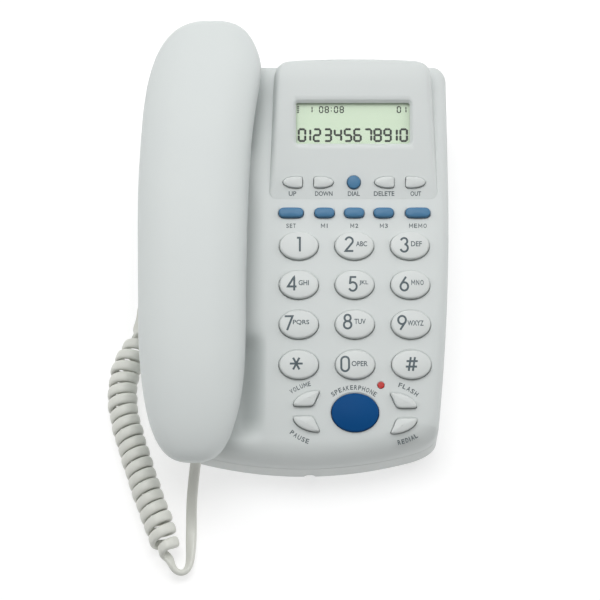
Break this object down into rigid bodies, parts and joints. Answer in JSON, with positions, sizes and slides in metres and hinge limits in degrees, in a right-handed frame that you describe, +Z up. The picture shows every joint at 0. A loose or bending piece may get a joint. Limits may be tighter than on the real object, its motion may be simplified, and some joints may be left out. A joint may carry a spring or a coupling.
{
  "type": "corded desk telephone",
  "caption": "Desk telephone with a sloping base, a display hood over the keypad, a handset in a side cradle and a curly cord.",
  "frame": {"origin": "centre of the footprint on the desk, without the free cord, at the height of the feet", "axes": "+X to the user's right, +Y away from the user along the handset, +Z up"},
  "size_m": [0.1683, 0.2663, 0.0809],
  "materials": {
    "shell_plastic": "fine satin moulded surface",
    "key_grey": "satin, softly domed",
    "key_blue": "satin blue",
    "key_deep_blue": "satin deep blue",
    "display_lens": "clear, polished",
    "display_panel": "pale green reflective display",
    "circuit_board": "green solder mask",
    "dark_rubber": "matte",
    "dark_plastic": "moulded black",
    "plated_steel": "nickel plated",
    "cell_sleeve": "printed sleeve",
    "red_lamp": "tinted clear",
    "cord_vinyl": "satin vinyl jacket",
    "clear_plug": "translucent white"
  },
  "bodies": {
    "base": {"base_upper_case": "shell_plastic", "base_lower_case": "shell_plastic", "display_hood": "shell_plastic", "lcd_lens": "display_lens", "lcd_panel": "display_panel", "display_board": "circuit_board", "main_board": "circuit_board", "keypad_mats": "dark_rubber", "loudspeaker": "dark_plastic", "base_microphone": "dark_plastic", "hook_switch": "dark_plastic", "hook_spring": "plated_steel", "line_jack": "dark_plastic", "cord_jack": "dark_plastic", "battery_cells": "cell_sleeve", "battery_contacts": "plated_steel", "base_feet": "dark_rubber", "base_screws": "plated_steel", "status_led": "red_lamp", "cord_coil": "cord_vinyl", "cord_base_lead": "cord_vinyl", "base_plug": "clear_plug"},
    "handset": {"handset_outer_shell": "shell_plastic", "handset_inner_shell": "shell_plastic", "receiver_capsule": "dark_plastic", "handset_microphone": "dark_plastic", "handset_screws": "plated_steel", "handset_jack": "dark_plastic", "handset_plug": "clear_plug", "cord_handset_lead": "cord_vinyl"},
    "hook_plunger": {"hook_plunger": "shell_plastic"},
    "battery_door": {"battery_door": "shell_plastic"},
    "ringer_switch": {"ringer_switch": "dark_plastic"},
    "key_1": {"key_1": "key_grey"},
    "key_2": {"key_2": "key_grey"},
    "key_3": {"key_3": "key_grey"},
    "key_4": {"key_4": "key_grey"},
    "key_5": {"key_5": "key_grey"},
    "key_6": {"key_6": "key_grey"},
    "key_7": {"key_7": "key_grey"},
    "key_8": {"key_8": "key_grey"},
    "key_9": {"key_9": "key_grey"},
    "key_star": {"key_star": "key_grey"},
    "key_0": {"key_0": "key_grey"},
    "key_hash": {"key_hash": "key_grey"},
    "key_speaker": {"key_speaker": "key_deep_blue"},
    "key_set": {"key_set": "key_blue"},
    "key_m1": {"key_m1": "key_blue"},
    "key_m2": {"key_m2": "key_blue"},
    "key_m3": {"key_m3": "key_blue"},
    "key_memo": {"key_memo": "key_blue"},
    "key_volume": {"key_volume": "key_grey"},
    "key_pause": {"key_pause": "key_grey"},
    "key_flash": {"key_flash": "key_grey"},
    "key_redial": {"key_redial": "key_grey"},
    "key_up": {"key_up": "key_grey"},
    "key_down": {"key_down": "key_grey"},
    "key_dial": {"key_dial": "key_blue"},
    "key_delete": {"key_delete": "key_grey"},
    "key_out": {"key_out": "key_grey"}
  },
  "joints": [
    {"name": "handset_lift", "type": "slide", "parent": "base", "child": "handset", "axis": [0, 0, 1], "range_m": [0, 0.08]},
    {"name": "hook_rise", "type": "slide", "parent": "base", "child": "hook_plunger", "axis": [0, 0, 1], "range_m": [0, 0.004], "deforming": ["hook_spring"]},
    {"name": "battery_door_slide", "type": "slide", "parent": "base", "child": "battery_door", "axis": [0, 1, 0], "range_m": [0, 0.052]},
    {"name": "ringer_slide", "type": "slide", "parent": "base", "child": "ringer_switch", "axis": [1, 0, 0], "range_m": [0, 0.004]},
    {"name": "key_1_press", "type": "slide", "parent": "base", "child": "key_1", "axis": [0, -0.165, 0.9863], "range_m": [-0.0012, 0], "stiffness_N_per_m": 300, "springref_m": 0.0006},
    {"name": "key_2_press", "type": "slide", "parent": "base", "child": "key_2", "axis": [0, -0.165, 0.9863], "range_m": [-0.0012, 0], "stiffness_N_per_m": 300, "springref_m": 0.0006},
    {"name": "key_3_press", "type": "slide", "parent": "base", "child": "key_3", "axis": [0, -0.165, 0.9863], "range_m": [-0.0012, 0], "stiffness_N_per_m": 300, "springref_m": 0.0006},
    {"name": "key_4_press", "type": "slide", "parent": "base", "child": "key_4", "axis": [0, -0.165, 0.9863], "range_m": [-0.0012, 0], "stiffness_N_per_m": 300, "springref_m": 0.0006},
    {"name": "key_5_press", "type": "slide", "parent": "base", "child": "key_5", "axis": [0, -0.165, 0.9863], "range_m": [-0.0012, 0], "stiffness_N_per_m": 300, "springref_m": 0.0006},
    {"name": "key_6_press", "type": "slide", "parent": "base", "child": "key_6", "axis": [0, -0.165, 0.9863], "range_m": [-0.0012, 0], "stiffness_N_per_m": 300, "springref_m": 0.0006},
    {"name": "key_7_press", "type": "slide", "parent": "base", "child": "key_7", "axis": [0, -0.165, 0.9863], "range_m": [-0.0012, 0], "stiffness_N_per_m": 300, "springref_m": 0.0006},
    {"name": "key_8_press", "type": "slide", "parent": "base", "child": "key_8", "axis": [0, -0.165, 0.9863], "range_m": [-0.0012, 0], "stiffness_N_per_m": 300, "springref_m": 0.0006},
    {"name": "key_9_press", "type": "slide", "parent": "base", "child": "key_9", "axis": [0, -0.165, 0.9863], "range_m": [-0.0012, 0], "stiffness_N_per_m": 300, "springref_m": 0.0006},
    {"name": "key_star_press", "type": "slide", "parent": "base", "child": "key_star", "axis": [0, -0.165, 0.9863], "range_m": [-0.0012, 0], "stiffness_N_per_m": 300, "springref_m": 0.0006},
    {"name": "key_0_press", "type": "slide", "parent": "base", "child": "key_0", "axis": [0, -0.165, 0.9863], "range_m": [-0.0012, 0], "stiffness_N_per_m": 300, "springref_m": 0.0006},
    {"name": "key_hash_press", "type": "slide", "parent": "base", "child": "key_hash", "axis": [0, -0.165, 0.9863], "range_m": [-0.0012, 0], "stiffness_N_per_m": 300, "springref_m": 0.0006},
    {"name": "key_speaker_press", "type": "slide", "parent": "base", "child": "key_speaker", "axis": [0, -0.165, 0.9863], "range_m": [-0.0012, 0], "stiffness_N_per_m": 300, "springref_m": 0.0006},
    {"name": "key_set_press", "type": "slide", "parent": "base", "child": "key_set", "axis": [0, -0.165, 0.9863], "range_m": [-0.0012, 0], "stiffness_N_per_m": 250, "springref_m": 0.0006},
    {"name": "key_m1_press", "type": "slide", "parent": "base", "child": "key_m1", "axis": [0, -0.165, 0.9863], "range_m": [-0.0012, 0], "stiffness_N_per_m": 250, "springref_m": 0.0006},
    {"name": "key_m2_press", "type": "slide", "parent": "base", "child": "key_m2", "axis": [0, -0.165, 0.9863], "range_m": [-0.0012, 0], "stiffness_N_per_m": 250, "springref_m": 0.0006},
    {"name": "key_m3_press", "type": "slide", "parent": "base", "child": "key_m3", "axis": [0, -0.165, 0.9863], "range_m": [-0.0012, 0], "stiffness_N_per_m": 250, "springref_m": 0.0006},
    {"name": "key_memo_press", "type": "slide", "parent": "base", "child": "key_memo", "axis": [0, -0.165, 0.9863], "range_m": [-0.0012, 0], "stiffness_N_per_m": 250, "springref_m": 0.0006},
    {"name": "key_volume_press", "type": "slide", "parent": "base", "child": "key_volume", "axis": [0, -0.165, 0.9863], "range_m": [-0.0012, 0], "stiffness_N_per_m": 250, "springref_m": 0.0006},
    {"name": "key_pause_press", "type": "slide", "parent": "base", "child": "key_pause", "axis": [0, -0.165, 0.9863], "range_m": [-0.0012, 0], "stiffness_N_per_m": 250, "springref_m": 0.0006},
    {"name": "key_flash_press", "type": "slide", "parent": "base", "child": "key_flash", "axis": [0, -0.165, 0.9863], "range_m": [-0.0012, 0], "stiffness_N_per_m": 250, "springref_m": 0.0006},
    {"name": "key_redial_press", "type": "slide", "parent": "base", "child": "key_redial", "axis": [0, -0.165, 0.9863], "range_m": [-0.0012, 0], "stiffness_N_per_m": 250, "springref_m": 0.0006},
    {"name": "key_up_press", "type": "slide", "parent": "base", "child": "key_up", "axis": [0, -0.2924, 0.9563], "range_m": [-0.001, 0], "stiffness_N_per_m": 250, "springref_m": 0.0006},
    {"name": "key_down_press", "type": "slide", "parent": "base", "child": "key_down", "axis": [0, -0.2924, 0.9563], "range_m": [-0.001, 0], "stiffness_N_per_m": 250, "springref_m": 0.0006},
    {"name": "key_dial_press", "type": "slide", "parent": "base", "child": "key_dial", "axis": [0, -0.2924, 0.9563], "range_m": [-0.001, 0], "stiffness_N_per_m": 250, "springref_m": 0.0006},
    {"name": "key_delete_press", "type": "slide", "parent": "base", "child": "key_delete", "axis": [0, -0.2924, 0.9563], "range_m": [-0.001, 0], "stiffness_N_per_m": 250, "springref_m": 0.0006},
    {"name": "key_out_press", "type": "slide", "parent": "base", "child": "key_out", "axis": [0, -0.2924, 0.9563], "range_m": [-0.001, 0], "stiffness_N_per_m": 250, "springref_m": 0.0006}
  ],
  "couplings": [
    {"joint": "hook_rise", "follows": "handset_lift", "ratio": 0.05}
  ]
}
